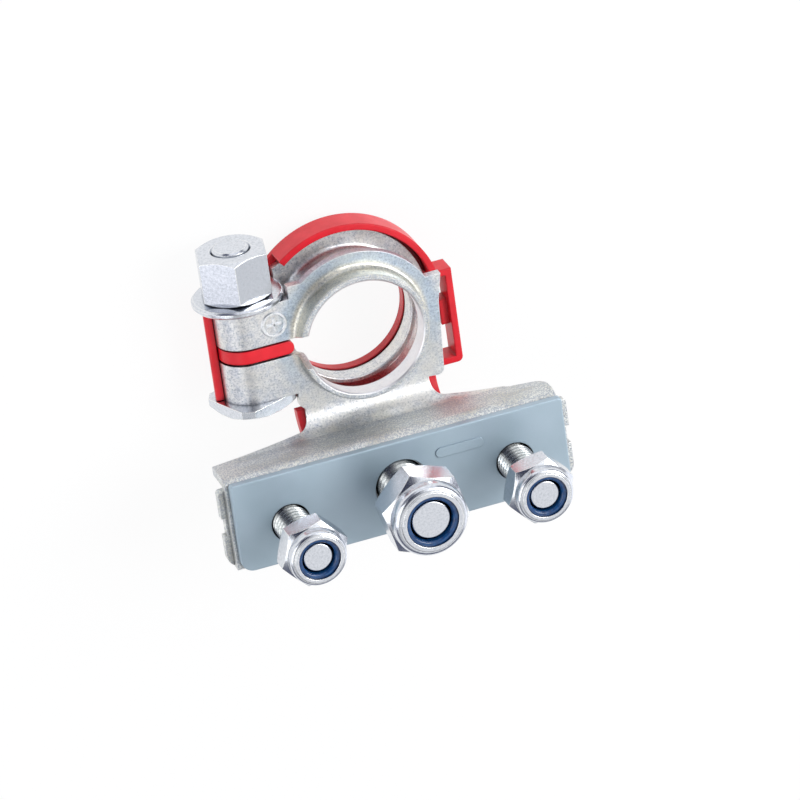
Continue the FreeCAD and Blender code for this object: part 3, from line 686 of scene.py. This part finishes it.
def dress_nodes(finishes, lock_nut):
    """Give every node the finish of its material slot, and the lock nuts their own."""
    for part in frame["record"]["subparts"]:
        finish = lock_nut if part["node"] in LOCK_NUTS else finishes[part["material_slot"]]
        for slot in frame["nodes"][part["node"]].material_slots:
            slot.material = finish


# Pieces

def cut_stud(name, threaded, smooth):
    """Stud with its head, its square neck and a cut thread, in the place of the plain one."""
    node = name + "_stud"
    centre, head_radius, bottom, top = upright_extent(node)
    neck_bottom, neck_top = upright_extent("stud_retainer")[2:]
    radius = mount_of(name + "_cable_stud")["dims"]["stud_r_mm"]
    tip_radius = TIP_RADIUS_SHARE * radius
    shoulder = top - PILOT_RISE
    rim = top - TIP_CROWN
    shell = Shell()
    foot = rounded_corner(head_radius - HEAD_EDGE, bottom + HEAD_EDGE, HEAD_EDGE, -90, 0)
    shell.revolve([(0, bottom), *foot, (head_radius, neck_bottom), (0, neck_bottom)], centre)
    shell.box((centre[0] - radius, centre[1] - radius, neck_bottom - OVERLAP),
              (centre[0] + radius, centre[1] + radius, neck_top))
    shell.thread(centre, radius, PITCH[name], neck_top - OVERLAP, shoulder, tip_radius)
    threaded_faces = len(shell.faces)
    edge = rounded_corner(tip_radius - PILOT_EDGE, rim - PILOT_EDGE, PILOT_EDGE, 0, 90)
    crown = [(tip_radius * TIP_CROWN_SHARE, top), (0, top)]
    shell.revolve([(tip_radius, shoulder - OVERLAP), *edge, *crown], centre)
    piece = mesh_object(name + "_cut_stud", shell, threaded, "frame", STUD_SHARP_ANGLE)
    piece.data.materials.append(smooth)
    for face in piece.data.polygons:
        face.material_index = int(face.index >= threaded_faces)
    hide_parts(node)


def nylon_ring(name, nylon):
    """Nylon ring with a rounded inner edge, in the place of the plain one."""
    node = name + "_nut_insert"
    centre, outer, bottom, top = upright_extent(node)
    inner = NYLON_BORE[name]
    edge = rounded_corner(inner + NYLON_EDGE, top - NYLON_EDGE, NYLON_EDGE, 90, 180, NYLON_EDGE_STEPS)
    shell = Shell()
    ring = [(outer, bottom), (outer, top), *edge, (inner, bottom), (outer, bottom)]
    shell.revolve(ring, centre, NYLON_SEGMENTS)
    piece = mesh_object(name + "_nylon_ring", shell, nylon, name + "_lock_nut")
    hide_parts(node)


def polarity_mark(finish):
    """Raised ring with a plus inside it, pressed into the front of the upper ear."""
    face_z = mount_of("post_bore_upper")["pos_m"][2] / MM - MARK_BELOW_MOUNT
    base = face_z - OVERLAP
    crest = face_z + MARK_RISE
    shell = Shell()
    shell.revolve([
        (MARK_RADIUS - MARK_RIDGE, base),
        (MARK_RADIUS - MARK_CREST_SHARE * MARK_RIDGE, crest - MARK_CREST_BREAK),
        (MARK_RADIUS, crest),
        (MARK_RADIUS + MARK_CREST_SHARE * MARK_RIDGE, crest - MARK_CREST_BREAK),
        (MARK_RADIUS + MARK_RIDGE, base),
    ], MARK_CENTRE, MARK_SEGMENTS)
    for along, arm in zip((Vector((1, 0)), Vector((0, 1))), MARK_ARMS):
        across = Vector((-along.y, along.x))
        foot = (arm, MARK_RIDGE, base)
        top = (arm - MARK_ARM_SLOPE, MARK_RIDGE * MARK_ARM_CREST_SHARE, crest)
        vertices = []
        for reach, half, z in (foot, top):
            for i, j in ((-1, -1), (1, -1), (1, 1), (-1, 1)):
                point = MARK_CENTRE + along * (i * reach) + across * (j * half)
                vertices.append((point.x, point.y, z))
        shell.add(vertices, [(0, 1, 5, 4), (1, 2, 6, 5), (2, 3, 7, 6), (3, 0, 4, 7), (4, 5, 6, 7)])
    mesh_object("polarity_mark", shell, finish, "frame")


# Floor, light and camera

def floor_material():
    """White floor that keeps a soft share of the object's shadow, and is white to the eye and to gloss."""
    material = bpy.data.materials.new("pale_floor")
    material.use_nodes = True
    tree = material.node_tree
    tree.nodes.clear()
    output = tree.nodes.new("ShaderNodeOutputMaterial")
    lit = tree.nodes.new("ShaderNodeBsdfDiffuse")
    lit.inputs["Color"].default_value = (1, 1, 1, 1)
    white = tree.nodes.new("ShaderNodeEmission")
    white.inputs["Strength"].default_value = 1.0
    path = tree.nodes.new("ShaderNodeLightPath")
    seen = math_node(tree, "MAXIMUM", path.outputs["Is Camera Ray"], path.outputs["Is Glossy Ray"])
    seen = math_node(tree, "MAXIMUM", seen, path.outputs["Is Transmission Ray"])
    blend = tree.nodes.new("ShaderNodeMixShader")
    tree.links.new(math_node(tree, "MULTIPLY", seen, FLOOR_WHITE_SHARE), blend.inputs[0])
    tree.links.new(lit.outputs[0], blend.inputs[1])
    tree.links.new(white.outputs[0], blend.inputs[2])
    tree.links.new(blend.outputs[0], output.inputs["Surface"])
    return material


def make_floor():
    """Pale floor at the part's lowest point."""
    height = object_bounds()[0].z / MM
    half = FLOOR_SIZE / 2
    mesh = bpy.data.meshes.new("floor")
    corners = [Vector((i * half, j * half, height)) for i, j in ((-1, -1), (1, -1), (1, 1), (-1, 1))]
    mesh.from_pydata([corner * MM for corner in corners], [], [(0, 1, 2, 3)])
    mesh.materials.append(floor_material())
    floor = bpy.data.objects.new("floor", mesh)
    bpy.context.scene.collection.objects.link(floor)


def area_light(name, place, size, watts):
    data = bpy.data.lights.new(name, "AREA")
    data.shape = "SQUARE"
    data.size = size * MM
    data.energy = watts
    lamp = bpy.data.objects.new(name, data)
    lamp.location = place * MM
    lamp.rotation_mode = "QUATERNION"
    lamp.rotation_quaternion = (LAMP_AIM - place).to_track_quat("-Z", "Y")
    bpy.context.scene.collection.objects.link(lamp)


def make_world():
    """Studio light round the part, by elevation, darker on the camera's side."""
    world = bpy.data.worlds.new("studio")
    bpy.context.scene.world = world
    world.use_nodes = True
    tree = world.node_tree
    tree.nodes.clear()
    output = tree.nodes.new("ShaderNodeOutputWorld")
    sky = tree.nodes.new("ShaderNodeBackground")
    direction = tree.nodes.new("ShaderNodeTexCoord").outputs["Generated"]
    parts = tree.nodes.new("ShaderNodeSeparateXYZ")
    tree.links.new(direction, parts.inputs[0])
    levels = colour_ramp(tree, parts.outputs["Z"], WORLD_LEVELS)
    side = tree.nodes.new("ShaderNodeVectorMath")
    side.operation = "DOT_PRODUCT"
    side.inputs[1].default_value = DARK_SIDE.normalized()
    tree.links.new(direction, side.inputs[0])
    near = faded(tree, side.outputs["Value"], DARK_SIDE_SPAN)
    tree.links.new(colour_mix(tree, levels, DARK_SIDE_COLOUR, near), sky.inputs["Color"])
    tree.links.new(sky.outputs[0], output.inputs["Surface"])


def make_camera():
    back = CAMERA_BACK.normalized()
    right = CAMERA_UP.cross(back).normalized()
    up = back.cross(right)
    data = bpy.data.cameras.new("camera")
    data.sensor_width = SENSOR_WIDTH
    data.lens = SENSOR_WIDTH * CAMERA_DISTANCE * PIXELS_PER_MM / PICTURE_PIXELS
    data.clip_start, data.clip_end = (reach * MM for reach in CAMERA_CLIP)
    camera = bpy.data.objects.new("camera", data)
    place = (CAMERA_AIM + back * CAMERA_DISTANCE) * MM
    turn = Matrix((right, up, back)).transposed().to_4x4()
    camera.matrix_world = Matrix.Translation(place) @ turn
    bpy.context.scene.collection.objects.link(camera)
    bpy.context.scene.camera = camera


fastener_finish = zinc_fastener("zinc_fastener", FASTENER_GAP_SHADE)
nylon_finish = blue_nylon()
slot_finishes = {
    "plated_steel_sheet": zinc_sheet(),
    "plated_fastener": fastener_finish,
    "gray_coated_plate": gray_plate(),
    "red_plastic": red_plastic(),
    "blue_nylon": nylon_finish,
}
# The lock nuts' finish has a darker, navy painted shade in its corners
dress_nodes(slot_finishes, zinc_fastener("zinc_lock_nut", LOCK_NUT_GAP_SHADE))
thread_finish = zinc_thread()
for stud_name in STUDS:
    cut_stud(stud_name, thread_finish, fastener_finish)
    nylon_ring(stud_name, nylon_finish)
polarity_mark(zinc_mark())
make_floor()
for lamp_name, lamp_place, lamp_size, lamp_watts in LAMPS:
    area_light(lamp_name, Vector(lamp_place), lamp_size, lamp_watts)
make_world()
make_camera()
bpy.context.scene.view_settings.view_transform = "Standard"
